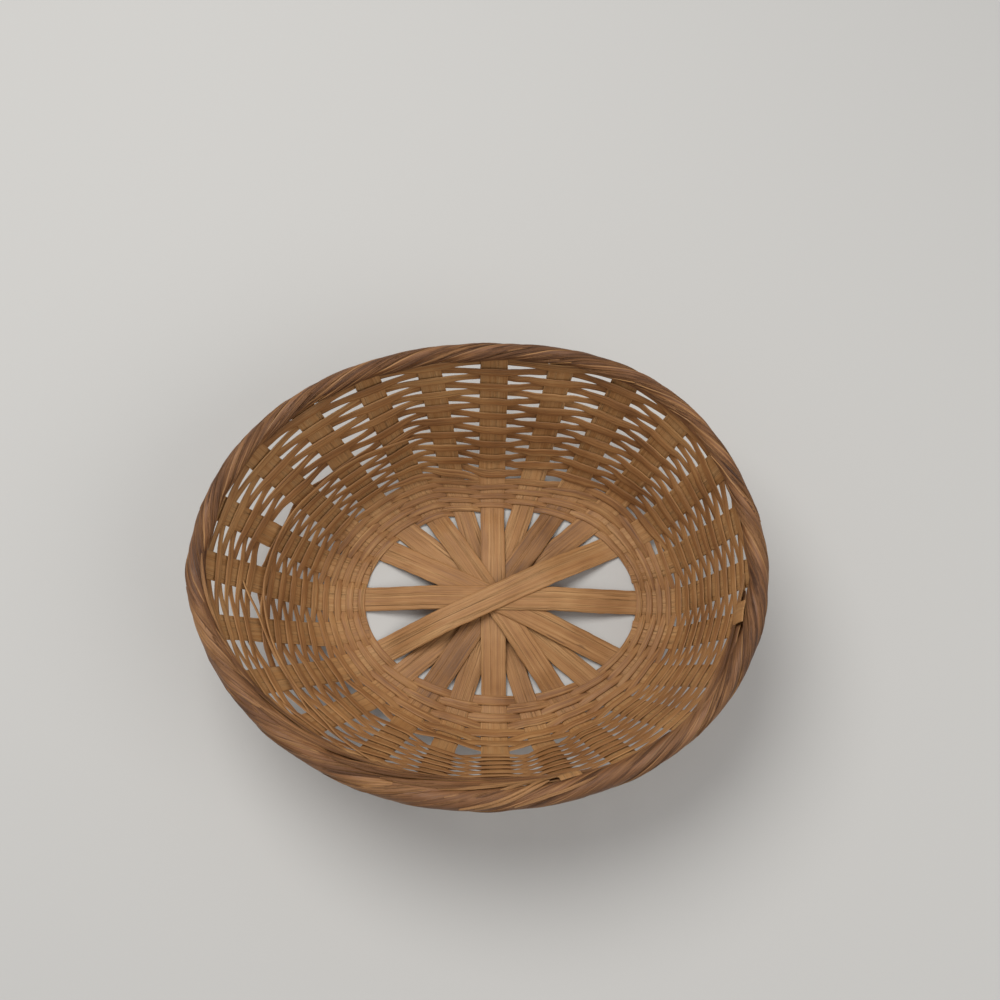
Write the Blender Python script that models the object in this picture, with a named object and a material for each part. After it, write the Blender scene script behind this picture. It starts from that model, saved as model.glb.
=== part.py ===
# Oval splint basket: crossed base splints bend up into the wall, thin strips
# are woven round them, and a rope of laid splints finishes the rim.
# Metres, +Z up out of the mouth, long axis along X, origin under the middle
# of the overall box, on the plane that the basket stands on.

import math

import bmesh
import bpy
from mathutils import Vector

# overall sizes
basket_length = 0.276
basket_width = 0.229
basket_height = 0.088

# the flat base inside the first woven row
base_length = 0.1436
base_width = 0.1022
base_lead = 0.0125            # the base lies this far toward +X of the rim's middle
crossing_lag = 0.0040         # the splints cross this far toward -X of the base's middle
base_flat_margin = 0.0060     # flat ring outside the base, where the first rows lie
corner_radius = 0.024

# how far the rim stands outside a true oval at two places
upper_right_bulge = 0.0045
lower_right_bulge = 0.0020

# splints and stakes
splint_width = 0.0126
splint_thickness = 0.0008
stake_start = 0.0004          # the short stakes start this far outside the base's edge

# woven strips
ring_strip_width = 0.0028
ring_strip_thickness = 0.0007
ring_first_row = 0.0017
ring_pitch = 0.00325
ring_rows = 8
wall_strip_width = 0.0031
wall_strip_thickness = 0.0007
ring_strip_slack = 0.00015    # the strips stand this much clear of the splints
wall_strip_slack = 0.00035
wall_pitch_least = 0.0040
zone_gap = 0.0020             # open space between the ring rows and the wall rows
parting = 0.0020              # the wall rows part by twice this at one place
ring_spread = 0.0048          # on one side the ring rows reach this much farther up
zone_gap_spread = 0.0060      # and there the space above them is this much wider

# rim
rim_radius = 0.0056
rim_strand_thickness = 0.0009
rim_core_radius = 0.0033

# fits
clearance = 0.0003
strip_margin = 0.00035        # a strip runs straight this far past a splint's edge
strip_end_gap = 0.0003        # half the gap between two butted strip ends

# directions of the splints and stakes in plan, in degrees, over half a turn:
# each one has an arm that way and an arm the opposite way
arm_headings = [-0.5, 12.2, 25.3, 39.5, 55.6, 72.3, 90.4, 108.0, 124.0, 140.4, 154.4, 167.7]
half_turn = len(arm_headings)
arm_count = 2 * half_turn

# the splints that cross the base, from the lowest to the uppermost, by the
# first of the two arms that each one forms, with its share of splint_width
stack_width_shares = [(7, 0.88), (3, 0.98), (5, 0.92), (4, 1.00), (6, 1.02),
                      (9, 0.97), (8, 0.96), (10, 0.97), (0, 1.02), (2, 1.02)]
stake_width_share = 0.94
stake_arms = [1, 11, 13, 23]

# the middle of each bulge, how far it spreads either way, in degrees, and its depth
bulges = [(52, 40, upper_right_bulge), (316, 45, lower_right_bulge)]

# two strips weave at once, so each climbs two rows in a turn, over a few arms
rows_per_turn = 2
step_start = 2
step_arms = 4
ring_pieces = 2
wall_pieces = 3

# where the wall rows part: the arm in the middle, the reach in arms, and the
# share of the rows that lies below the parting
parting_arm = 12.0
parting_arms = 4.5
parting_row_share = 0.56

# where the ring rows spread: the arm in the middle and the reach in arms
spread_arm = 17.8
spread_arms = 6.0

# the rim's rope
rim_strands_abreast = 3
rim_steps_per_arm = 4
rim_lane_share = 0.963        # how much of its third of the rope a strand fills
rim_end_share = 0.012         # a strand's ends stop this share of an arm's spacing short
rim_core_sides = 6
rim_core_steps_per_arm = 2

# looks
splint_colours = [(0.42, 0.26, 0.12), (0.46, 0.29, 0.14), (0.38, 0.23, 0.10)]
strip_colours = [(0.34, 0.20, 0.09), (0.38, 0.23, 0.11), (0.31, 0.18, 0.08)]
rim_colours = [(0.28, 0.15, 0.07), (0.32, 0.18, 0.08), (0.25, 0.13, 0.06)]
splint_roughness = 0.55
strip_roughness = 0.6
rim_roughness = 0.5

# sampling of the curved pieces
corner_steps = 8
wall_steps = 4
stack_samples = 150
stack_samples_per_block = 6
stack_samples_across = 5
angle_repeats = 4
probe_angle = 0.01            # radians to either side, where the wall's direction is read

# values that follow from the sizes above
weave_level = clearance + ring_strip_slack + ring_strip_thickness + splint_thickness / 2
rim_half_length = basket_length / 2 - rim_radius
rim_half_width = basket_width / 2 - rim_radius
rim_level = basket_height - rim_radius
base_half_length = base_length / 2
base_half_width = base_width / 2
wall_run = rim_half_length - base_half_length
wall_rise = rim_level - weave_level
width_run_ratio = (rim_half_width - base_half_width) / wall_run
slope_run = wall_run - base_flat_margin
slope_rise = wall_rise - corner_radius
slope_length = math.sqrt(slope_run ** 2 + slope_rise ** 2 - corner_radius ** 2)
wall_slope = math.atan2(slope_rise, slope_run) + math.atan2(corner_radius, slope_length)
corner_end = base_flat_margin + corner_radius * wall_slope
rim_reach = corner_end + slope_length
stack_step = splint_thickness + clearance


def clear_scene():
    for old in list(bpy.data.objects):
        bpy.data.objects.remove(old, do_unlink=True)


# reach is the distance from the base's edge along the wall, outward and up
def profile(reach):
    bend = min(max(reach - base_flat_margin, 0), corner_end - base_flat_margin) / corner_radius
    straight = max(reach - corner_end, 0)
    run = min(reach, base_flat_margin) + corner_radius * math.sin(bend) + straight * math.cos(wall_slope)
    rise = corner_radius * (1 - math.cos(bend)) + straight * math.sin(wall_slope)
    return run, rise, bend


def oval(reach):
    run, rise, bend = profile(reach)
    middle = base_lead * (1 - rise / wall_rise)
    half_length = base_half_length + run
    half_width = base_half_width + width_run_ratio * run
    return middle, half_length, half_width, weave_level + rise


# a bulge grows from nothing at the base to its full depth at the rim
def bulge(angle, rise):
    total = 0
    for middle, spread, depth in bulges:
        apart = abs((math.degrees(angle) - middle + 180) % 360 - 180) / spread
        total += depth * math.cos(min(apart, 1) * math.pi / 2) ** 2
    return total * rise / wall_rise


def wall_point(angle, reach):
    middle, half_length, half_width, level = oval(reach)
    out = bulge(angle, level - weave_level)
    return Vector((middle + (half_length + out) * math.cos(angle),
                   (half_width + out) * math.sin(angle), level))


def around_wall(angle, reach):
    return (wall_point(angle + probe_angle, reach) - wall_point(angle - probe_angle, reach)).normalized()


# how the wall's point moves for each unit of reach
def up_wall(angle, reach):
    bend = profile(reach)[2]
    out = bulge(angle, math.sin(bend))
    lead = math.sin(bend) * base_lead / wall_rise
    return Vector(((math.cos(bend) + out) * math.cos(angle) - lead,
                   (math.cos(bend) * width_run_ratio + out) * math.sin(angle),
                   math.sin(bend)))


# the wall's unit normal, which points into the basket, and up on the base
def wall_normal(angle, reach):
    return up_wall(angle, reach).cross(around_wall(angle, reach)).normalized()


# the reach at which the wall comes up to the rim's rope
def rope_foot(angle):
    spread = up_wall(angle, rim_reach).cross(around_wall(angle, rim_reach)).length
    return rim_reach - (rim_radius + clearance) / spread


def arm_heading(count):
    turns, place = divmod(count, half_turn)
    before = int(place)
    start = arm_headings[before]
    after = arm_headings[before + 1] if before + 1 < half_turn else arm_headings[0] + 180
    return math.radians(start + (after - start) * (place - before) + 180 * turns)


# each arm lies in an upright plane that runs out from the crossing point
def arm_angle(count, reach):
    heading = arm_heading(count)
    middle, half_length, half_width, level = oval(reach)
    angle = heading
    for repeat in range(angle_repeats):
        out = bulge(angle, level - weave_level)
        start = Vector(((base_lead - crossing_lag - middle) / (half_length + out), 0))
        step = Vector((math.cos(heading) / (half_length + out), math.sin(heading) / (half_width + out)))
        mixed = start.dot(step)
        travel = (-mixed + math.sqrt(mixed ** 2 - step.dot(step) * (start.dot(start) - 1))) / step.dot(step)
        meet = start + step * travel
        angle = math.atan2(meet.y, meet.x)
    return angle


def arm_point(arm, reach):
    return wall_point(arm_angle(arm, reach), reach)


def arm_normal(arm, reach):
    return wall_normal(arm_angle(arm, reach), reach)


def arm_direction(arm, reach):
    heading = arm_heading(arm)
    plane_side = Vector((-math.sin(heading), math.cos(heading), 0))
    return plane_side.cross(arm_normal(arm, reach)).normalized()


def arm_width(arm):
    home = arm % half_turn
    for first, share in stack_width_shares:
        if first == home:
            return splint_width * share
    return splint_width * stake_width_share


def pick(colours, number):
    return colours[number % len(colours)]


def make_material(name, colour, roughness):
    material = bpy.data.materials.new(name)
    material.use_nodes = True
    shader = material.node_tree.nodes["Principled BSDF"]
    shader.inputs["Base Color"].default_value = (*colour, 1)
    shader.inputs["Roughness"].default_value = roughness
    shader.inputs["Metallic"].default_value = 0
    return material


def add_object(name, mesh_builder, colour, roughness):
    mesh = bpy.data.meshes.new(name)
    bmesh.ops.recalc_face_normals(mesh_builder, faces=mesh_builder.faces)
    mesh_builder.to_mesh(mesh)
    mesh_builder.free()
    mesh.materials.append(make_material(name + "_splint", colour, roughness))
    made = bpy.data.objects.new(name, mesh)
    bpy.context.collection.objects.link(made)
    return made


# a closed bar through a row of outlines that all have the same corners
def skin_sections(sections, ring=False):
    build = bmesh.new()
    loops = [[build.verts.new(corner) for corner in section] for section in sections]
    pairs = list(zip(loops, loops[1:]))
    if ring:
        pairs.append((loops[-1], loops[0]))
    for first, second in pairs:
        for corner, vertex in enumerate(first):
            following = (corner + 1) % len(first)
            build.faces.new((vertex, first[following], second[following], second[corner]))
    if not ring:
        build.faces.new(loops[0])
        build.faces.new(reversed(loops[-1]))
    return build


def strip_section(middle, across, normal, width, thickness):
    side = across * (width / 2)
    face = normal * (thickness / 2)
    return [middle - side - face, middle + side - face, middle + side + face, middle - side + face]


# nothing reaches below the plane that the basket stands on
def above_ground(corner):
    return Vector((corner.x, corner.y, max(corner.z, 0)))


# how far inside the base's edge both edges of a splint are clear of the rows
def base_inset(arm):
    lean = abs(around_wall(arm_angle(arm, 0), 0).dot(arm_direction(arm, 0)))
    return arm_width(arm) / 2 * lean / math.sqrt(1 - lean ** 2) + clearance


# the heights of the crossed splints over the base
class Crossing:
    def __init__(self, arm):
        self.arm = arm
        self.width = arm_width(arm)
        self.start = arm_point(arm, 0).to_2d()
        self.end = arm_point(arm + half_turn, 0).to_2d()
        self.length = (self.end - self.start).length
        self.along = (self.end - self.start).normalized()
        self.side = Vector((-self.along.y, self.along.x))
        self.rise_start = base_inset(arm)
        self.rise_end = self.length - base_inset(arm + half_turn)
        self.line = []

    def height(self, travel):
        for (place, height), (next_place, next_height) in zip(self.line, self.line[1:]):
            if place <= travel <= next_place:
                return height + (next_height - height) * (travel - place) / (next_place - place)
        return 0

    def spot(self, travel, offset):
        return self.start + self.along * travel + self.side * offset

    def rest_over(self, lower):
        needs = []
        for sample in range(stack_samples + 1):
            travel = self.rise_start + (self.rise_end - self.rise_start) * sample / stack_samples
            need = 0
            for step in range(stack_samples_across):
                offset = self.width * (step / (stack_samples_across - 1) - 1 / 2)
                spot = self.spot(travel, offset)
                for other in lower:
                    place = (spot - other.start).dot(other.along)
                    aside = abs((spot - other.start).dot(other.side))
                    if aside < other.width / 2 + clearance and 0 < place < other.length:
                        need = max(need, other.height(place) + stack_step)
            needs.append((travel, need))
        self.line = taut_line([needs[0]] + block_needs(needs) + [needs[-1]])


# the highest need of each block of samples counts at both of its ends
def block_needs(needs):
    high = []
    for start in range(1, stack_samples - 1, stack_samples_per_block):
        block = needs[start:start + stack_samples_per_block + 1]
        height = max(need for place, need in block)
        high += [(block[0][0], height), (block[-1][0], height)]
    return high


# the splint is stiff, so it spans straight from one high spot to the next
def taut_line(needs):
    line = []
    for place, height in needs:
        while len(line) > 1:
            (x_a, z_a), (x_b, z_b) = line[-2], line[-1]
            if (x_b - x_a) * (height - z_a) < (place - x_a) * (z_b - z_a):
                break
            line.pop()
        line.append((place, height))
    return line


def stack_crossings():
    laid = []
    for arm, share in stack_width_shares:
        crossing = Crossing(arm)
        crossing.rest_over(laid)
        laid.append(crossing)
    return laid


# a splint that leans along the rim ends lower, so that its corner is clear of the rope
def arm_top(arm):
    angle = arm_angle(arm, rim_reach)
    lean = abs(around_wall(angle, rim_reach).dot(arm_direction(arm, rim_reach)))
    return rope_foot(angle) - arm_width(arm) / 2 * lean


def arm_reaches(arm, start):
    corner = [base_flat_margin + (corner_end - base_flat_margin) * step / corner_steps
              for step in range(corner_steps + 1)]
    wall = [corner_end + (arm_top(arm) - corner_end) * step / wall_steps
            for step in range(1, wall_steps + 1)]
    return [start] + corner + wall


def arm_section(arm, reach):
    normal = arm_normal(arm, reach)
    across = normal.cross(arm_direction(arm, reach))
    return strip_section(arm_point(arm, reach), across, normal, arm_width(arm), splint_thickness)


def make_splint(name, crossing, colour):
    near, far = crossing.arm, crossing.arm + half_turn
    sections = [arm_section(near, reach) for reach in reversed(arm_reaches(near, 0))]
    across = Vector((0, 0, 1)).cross(Vector((*crossing.along, 0))) * -1
    for travel, height in crossing.line:
        spot = crossing.spot(travel, 0)
        middle = Vector((spot.x, spot.y, weave_level + height))
        sections.append(strip_section(middle, across, Vector((0, 0, 1)), crossing.width, splint_thickness))
    for reach in arm_reaches(far, 0):
        low_left, low_right, high_right, high_left = arm_section(far, reach)
        sections.append([low_right, low_left, high_left, high_right])
    return add_object(name, skin_sections(sections), colour, splint_roughness)


def make_stake(name, arm, colour):
    sections = [arm_section(arm, reach) for reach in arm_reaches(arm, stake_start)]
    return add_object(name, skin_sections(sections), colour, splint_roughness)


# one at the middle arm, easing to zero at the given number of arms from it
def near_arm(arm, middle, arms):
    apart = abs((arm - middle + half_turn) % arm_count - half_turn) / arms
    return math.cos(min(apart, 1) * math.pi / 2) ** 2


# one zone of woven rows, with its own strip
class Zone:
    def __init__(self, first_reach, pitch, rows, width, thickness, offset, part, spread_first, spread_last):
        self.first_reach = first_reach
        self.pitch = pitch
        self.rows = rows
        self.width = width
        self.thickness = thickness
        self.offset = offset
        self.part = part
        self.spread_first = spread_first
        self.spread_last = spread_last

    # rows above the parting move up and rows below it move down, less and
    # less toward the first and the last row
    def parted(self, row, arm):
        swell = self.part * near_arm(arm, parting_arm, parting_arms)
        split = parting_row_share * (self.rows - 1)
        if row > split:
            return swell * (self.rows - 1 - row) / (self.rows - 1 - split)
        return -swell * row / split

    # on one side the rows stand farther up the wall
    def spread(self, row, arm):
        most = self.spread_first + (self.spread_last - self.spread_first) * row / (self.rows - 1)
        return most * near_arm(arm, spread_arm, spread_arms)

    def reach(self, row, arm):
        return self.first_reach + self.pitch * row + self.parted(row, arm) + self.spread(row, arm)


# a strip keeps its row for most of a turn, then steps up to its next one
def row_at(strand, count):
    turns, place = divmod(count - step_start, arm_count)
    return strand + rows_per_turn * (turns - 1 + min(place / step_arms, 1))


def weave_point(zone, strand, count):
    return arm_point(count, zone.reach(row_at(strand, count), count))


def strip_crossing(zone, strand, count, starts, ends):
    reach = zone.reach(row_at(strand, count), count)
    normal = arm_normal(count, reach)
    middle = arm_point(count, reach)
    onward = weave_point(zone, strand, count + 1) - weave_point(zone, strand, count - 1)
    onward = (onward - normal * onward.dot(normal)).normalized()
    across = normal.cross(onward)
    lean = abs(onward.dot(arm_direction(count, reach)))
    square = math.sqrt(1 - lean ** 2)
    half_span = (arm_width(count) + zone.width * lean) / 2 / square + strip_margin
    side = 1 if (count + strand) % 2 == 0 else -1
    middle = middle + normal * (side * zone.offset)
    before = strip_end_gap if starts else -half_span
    after = -strip_end_gap if ends else half_span
    sections = [strip_section(middle + onward * place, across, normal, zone.width, zone.thickness)
                for place in (before, after)]
    return [[above_ground(corner) for corner in section] for section in sections]


def make_strip(name, zone, strand, first, last, colour):
    sections = []
    for count in range(first, last + 1):
        sections += strip_crossing(zone, strand, count, count == first, count == last)
    return add_object(name, skin_sections(sections), colour, strip_roughness)


# two strips chase each other round, each cut into pieces whose ends meet
# behind a splint
def make_zone_strips(kind, zone, pieces):
    turns = zone.rows // rows_per_turn
    number = 1
    for strand in (0, 1):
        first = step_start + step_arms + 1 - strand
        last = step_start + arm_count * turns - 1 + strand
        piece_arms = rows_per_turn * round((last - first) / (rows_per_turn * pieces))
        starts = [first + piece_arms * piece for piece in range(pieces)] + [last]
        for start, end in zip(starts, starts[1:]):
            make_strip("%s_%02d" % (kind, number), zone, strand, start, end, pick(strip_colours, number))
            number += 1


def ring_zone():
    offset = splint_thickness / 2 + clearance + ring_strip_slack + ring_strip_thickness / 2
    return Zone(ring_first_row, ring_pitch, ring_rows, ring_strip_width, ring_strip_thickness, offset,
                0, 0, ring_spread)


def wall_zone():
    offset = splint_thickness / 2 + clearance + wall_strip_slack + wall_strip_thickness / 2
    ring_top = ring_first_row + ring_pitch * (ring_rows - 1) + ring_strip_width / 2
    first = ring_top + zone_gap + wall_strip_width / 2
    last = min(arm_top(arm) for arm in range(arm_count)) - wall_strip_width / 2
    rows = rows_per_turn * int((last - first) / wall_pitch_least / rows_per_turn + 1 / 2)
    pitch = (last - first) / (rows - 1)
    return Zone(first, pitch, rows, wall_strip_width, wall_strip_thickness, offset,
                parting, ring_spread + zone_gap_spread, 0)


# a point of the rim's rope: roll is zero at the wall, and grows toward the
# outside, the top and then the inside
def rope_point(count, radius, roll):
    angle = arm_angle(count, rim_reach)
    centre = wall_point(angle, rim_reach)
    inward = wall_normal(angle, rim_reach)
    upward = around_wall(angle, rim_reach).cross(inward)
    return centre - upward * (radius * math.cos(roll)) - inward * (radius * math.sin(roll))


def make_rim_strand(name, arm, colour):
    steps = rim_strands_abreast * rim_steps_per_arm
    half_lane = math.pi / rim_strands_abreast * rim_lane_share
    sections = []
    for step in range(steps + 1):
        travel = step / rim_steps_per_arm
        travel = min(max(travel, rim_end_share), rim_strands_abreast - rim_end_share)
        roll = 2 * math.pi * travel / rim_strands_abreast
        rolls = [roll - half_lane, roll, roll + half_lane]
        outer = [rope_point(arm + travel, rim_radius, place) for place in rolls]
        inner = [rope_point(arm + travel, rim_radius - rim_strand_thickness, place) for place in rolls]
        sections.append(outer + inner[::-1])
    # a strand twists fast, so its faces are folded where the twist bends them least
    build = skin_sections(sections)
    sides = [face for face in build.faces if len(face.verts) == 4]
    bmesh.ops.triangulate(build, faces=sides, quad_method="SHORT_EDGE")
    return add_object(name, build, colour, rim_roughness)


def make_rim_core(name, colour):
    sections = []
    for step in range(arm_count * rim_core_steps_per_arm):
        count = step / rim_core_steps_per_arm
        rolls = [2 * math.pi * side / rim_core_sides for side in range(rim_core_sides)]
        sections.append([rope_point(count, rim_core_radius, roll) for roll in rolls])
    return add_object(name, skin_sections(sections, ring=True), colour, rim_roughness)


# the origin goes under the middle of the overall box
def centre_model():
    corners = [vertex.co for made in bpy.data.objects for vertex in made.data.vertices]
    middle_x = (min(corner.x for corner in corners) + max(corner.x for corner in corners)) / 2
    middle_y = (min(corner.y for corner in corners) + max(corner.y for corner in corners)) / 2
    lowest = min(corner.z for corner in corners)
    shift = Vector((middle_x, middle_y, lowest))
    for made in bpy.data.objects:
        for vertex in made.data.vertices:
            vertex.co -= shift
    return shift


def main():
    clear_scene()
    for number, crossing in enumerate(stack_crossings(), start=1):
        make_splint("base_splint_%02d" % number, crossing, pick(splint_colours, number))
    for number, arm in enumerate(stake_arms, start=1):
        make_stake("short_stake_%02d" % number, arm, pick(splint_colours, number))
    make_zone_strips("ring_strip", ring_zone(), ring_pieces)
    make_zone_strips("wall_strip", wall_zone(), wall_pieces)
    make_rim_core("rim_core", rim_colours[0])
    for arm in range(arm_count):
        make_rim_strand("rim_strand_%02d" % (arm + 1), arm, pick(rim_colours, arm))
    shift = centre_model()
    zone = wall_zone()
    print("wall slope %.1f degrees, reach to the rim %.4f m" % (math.degrees(wall_slope), rim_reach))
    print("wall rows %d at %.5f m" % (zone.rows, zone.pitch))
    print("model shifted by %.5f, %.5f, %.5f m" % tuple(shift))


main()
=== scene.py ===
import math
import random

import bpy
from mathutils import Matrix, Vector, noise
from mathutils.bvhtree import BVHTree


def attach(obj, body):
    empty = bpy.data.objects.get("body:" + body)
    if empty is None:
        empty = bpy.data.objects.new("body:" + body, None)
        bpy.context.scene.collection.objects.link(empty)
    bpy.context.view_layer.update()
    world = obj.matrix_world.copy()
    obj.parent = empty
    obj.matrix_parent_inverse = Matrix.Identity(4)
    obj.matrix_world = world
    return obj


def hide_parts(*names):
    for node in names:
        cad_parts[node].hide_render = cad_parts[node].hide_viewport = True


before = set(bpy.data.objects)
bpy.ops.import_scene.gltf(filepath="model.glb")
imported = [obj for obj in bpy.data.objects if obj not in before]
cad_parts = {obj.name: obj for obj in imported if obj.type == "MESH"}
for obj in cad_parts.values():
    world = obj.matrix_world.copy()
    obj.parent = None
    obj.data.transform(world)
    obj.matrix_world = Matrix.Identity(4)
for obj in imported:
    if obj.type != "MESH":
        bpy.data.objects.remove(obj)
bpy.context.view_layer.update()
print("loaded", len(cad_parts), "nodes")

# the bowl, in metres: the same sizes as the solids
basket = {
    "length": 0.276,
    "width": 0.229,
    "height": 0.088,
    "baseLength": 0.1436,
    "baseWidth": 0.1022,
    "baseLead": 0.0125,
    "crossingLag": 0.0040,
    "flatMargin": 0.0060,
    "cornerRadius": 0.024,
    "weaveLevel": 0.00155,
    "rimRadius": 0.0056,
    "armHeadings": [-0.5, 12.2, 25.3, 39.5, 55.6, 72.3, 90.4, 108.0, 124.0, 140.4, 154.4, 167.7],
    # each bulge of the rim: its middle and how far it spreads either way, in degrees, and its depth
    "bulges": [(52, 40, 0.0045), (316, 45, 0.0020)],
    "angleRepeats": 4,
    "probeAngle": 0.01,
}
halfTurn = len(basket["armHeadings"])
armCount = 2 * halfTurn
rimLevel = basket["height"] - basket["rimRadius"]
wallRun = (basket["length"] - basket["baseLength"]) / 2 - basket["rimRadius"]
wallRise = rimLevel - basket["weaveLevel"]
sideShare = ((basket["width"] - basket["baseWidth"]) / 2 - basket["rimRadius"]) / wallRun
slopeRun = wallRun - basket["flatMargin"]
slopeRise = wallRise - basket["cornerRadius"]
slopeLength = math.sqrt(slopeRun ** 2 + slopeRise ** 2 - basket["cornerRadius"] ** 2)
wallSlope = math.atan2(slopeRise, slopeRun) + math.atan2(basket["cornerRadius"], slopeLength)
cornerEnd = basket["flatMargin"] + basket["cornerRadius"] * wallSlope
rimReach = cornerEnd + slopeLength


# reach is the way from the base's edge, out and up along the wall
def profileAt(reach):
    margin, radius = basket["flatMargin"], basket["cornerRadius"]
    bend = min(max(reach - margin, 0), cornerEnd - margin) / radius
    straight = max(reach - cornerEnd, 0)
    run = min(reach, margin) + radius * math.sin(bend) + straight * math.cos(wallSlope)
    rise = radius * (1 - math.cos(bend)) + straight * math.sin(wallSlope)
    return run, rise, bend


def ovalAt(reach):
    run, rise, bend = profileAt(reach)
    middle = basket["baseLead"] * (1 - rise / wallRise)
    return (middle, basket["baseLength"] / 2 + run, basket["baseWidth"] / 2 + sideShare * run,
            basket["weaveLevel"] + rise)


def bulgeAt(angle, rise):
    total = 0
    for middle, spread, depth in basket["bulges"]:
        apart = abs((math.degrees(angle) - middle + 180) % 360 - 180) / spread
        total += depth * math.cos(min(apart, 1) * math.pi / 2) ** 2
    return total * rise / wallRise


def wallPoint(angle, reach):
    middle, halfLength, halfWidth, level = ovalAt(reach)
    out = bulgeAt(angle, level - basket["weaveLevel"])
    return Vector((middle + (halfLength + out) * math.cos(angle),
                   (halfWidth + out) * math.sin(angle), level))


def aroundWall(angle, reach):
    probe = basket["probeAngle"]
    return (wallPoint(angle + probe, reach) - wallPoint(angle - probe, reach)).normalized()


def upWall(angle, reach):
    bend = profileAt(reach)[2]
    out = bulgeAt(angle, math.sin(bend))
    lead = math.sin(bend) * basket["baseLead"] / wallRise
    return Vector(((math.cos(bend) + out) * math.cos(angle) - lead,
                   (math.cos(bend) * sideShare + out) * math.sin(angle), math.sin(bend)))


# points into the bowl, and up on the base
def wallNormal(angle, reach):
    return upWall(angle, reach).cross(aroundWall(angle, reach)).normalized()


# arms are counted round the bowl, and a place between two of them has a fraction
def armHeading(count):
    turns, place = divmod(count, halfTurn)
    before = int(place)
    headings = basket["armHeadings"] + [basket["armHeadings"][0] + 180]
    return math.radians(headings[before] + (headings[before + 1] - headings[before]) * (place - before)
                        + 180 * turns)


# every upright lies in a plane through the crossing point of the base
def armAngle(count, reach):
    heading = angle = armHeading(count)
    middle, halfLength, halfWidth, level = ovalAt(reach)
    for repeat in range(basket["angleRepeats"]):
        out = bulgeAt(angle, level - basket["weaveLevel"])
        start = Vector(((basket["baseLead"] - basket["crossingLag"] - middle) / (halfLength + out), 0))
        step = Vector((math.cos(heading) / (halfLength + out), math.sin(heading) / (halfWidth + out)))
        mixed = start.dot(step)
        travel = (-mixed + math.sqrt(mixed ** 2 - step.dot(step) * (start.dot(start) - 1))) / step.dot(step)
        meet = start + step * travel
        angle = math.atan2(meet.y, meet.x)
    return angle


def armPlace(count, reach):
    angle = armAngle(count, reach)
    return wallPoint(angle, reach), wallNormal(angle, reach), angle


def smoothStep(value):
    value = min(max(value, 0), 1)
    return value * value * (3 - 2 * value)


# eases between values given at some of the arms, once round the bowl
def roundBowl(table, count):
    count = count % armCount
    places = [(table[-1][0] - armCount, table[-1][1])] + table + [(table[0][0] + armCount, table[0][1])]
    for (start, first), (end, last) in zip(places, places[1:]):
        if start <= count <= end:
            return first + (last - first) * smoothStep((count - start) / (end - start))


# how far apart the seeds lie in the noise, and how much it is heightened
wandering = {"seedSteps": (3.17, 1.31), "seedStart": 0.5, "height": 1.6}


# a smooth wander between -1 and 1 along a line, different for every seed
def wander(place, seed):
    first, second = wandering["seedSteps"]
    spot = Vector((place, seed * first + wandering["seedStart"], seed * second))
    return noise.noise(spot) * wandering["height"]


# a style is the height of a wander, how closely it follows the place, and what is added to the seed
def styled(style, place, seed=0):
    height, stretch, shift = style
    return height * wander(place * stretch, seed + shift)


# maths on sockets, for shaders and geometry alike
class Value:
    def __init__(self, graph, socket):
        self.graph = graph
        self.socket = socket

    def combine(self, operation, first, second):
        return self.graph.node("ShaderNodeMath", {"operation": operation}, {0: first, 1: second})

    def __add__(self, other):
        return self.combine("ADD", self, other)

    __radd__ = __add__

    def __sub__(self, other):
        return self.combine("SUBTRACT", self, other)

    def __rsub__(self, other):
        return self.combine("SUBTRACT", other, self)

    def __mul__(self, other):
        return self.combine("MULTIPLY", self, other)

    __rmul__ = __mul__

    def __truediv__(self, other):
        return self.combine("DIVIDE", self, other)

    def __pow__(self, other):
        return self.combine("POWER", self, other)

    def __abs__(self):
        return self.graph.reshaped("ABSOLUTE", self)


class Graph:
    def __init__(self, tree):
        self.tree = tree

    def node(self, kind, settings=None, values=None, output=0):
        made = self.tree.nodes.new(kind)
        for name, setting in (settings or {}).items():
            if name == "stops":
                self.setStops(made.color_ramp, setting)
            else:
                setattr(made, name, setting)
        for name, value in (values or {}).items():
            socket = made.inputs[name]
            if isinstance(value, Value):
                self.tree.links.new(value.socket, socket)
            else:
                socket.default_value = value
        return Value(self, made.outputs[output])

    def setStops(self, ramp, stops):
        while len(ramp.elements) > len(stops):
            ramp.elements.remove(ramp.elements[-1])
        while len(ramp.elements) < len(stops):
            ramp.elements.new(1)
        for element, (place, colour) in zip(ramp.elements, stops):
            element.position = place
            element.color = (*colour, 1)

    def reshaped(self, operation, value):
        return self.node("ShaderNodeMath", {"operation": operation}, {0: value})

    def vector(self, operation, first, second=None):
        values = {0: first} if second is None else {0: first, 1: second}
        return self.node("ShaderNodeVectorMath", {"operation": operation}, values)

    def scaled(self, vector, factor):
        return self.node("ShaderNodeVectorMath", {"operation": "SCALE"}, {0: vector, "Scale": factor})

    def fade(self, value, low, high, first=0, last=1):
        return self.node("ShaderNodeMapRange", {"interpolation_type": "SMOOTHSTEP"},
                         {"Value": value, "From Min": low, "From Max": high,
                          "To Min": first, "To Max": last})

    # a noise at a place, or at its three parts, with its levels of detail and its roughness
    def grain(self, place, detail, roughness, scale=1):
        if isinstance(place, tuple):
            place = self.node("ShaderNodeCombineXYZ", None, dict(zip("XYZ", place)))
        return self.node("ShaderNodeTexNoise", None,
                         {"Vector": place, "Scale": scale, "Detail": detail, "Roughness": roughness})

    def blend(self, factor, first, second):
        return self.node("ShaderNodeMix", {"data_type": "RGBA"}, {0: factor, 6: first, 7: second}, 2)


def newMaterial(name):
    material = bpy.data.materials.new(name)
    material.use_nodes = True
    return material, Graph(material.node_tree), material.node_tree.nodes["Principled BSDF"]


def newObject(name, data):
    made = bpy.data.objects.new(name, data)
    bpy.context.scene.collection.objects.link(made)
    return made


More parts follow.
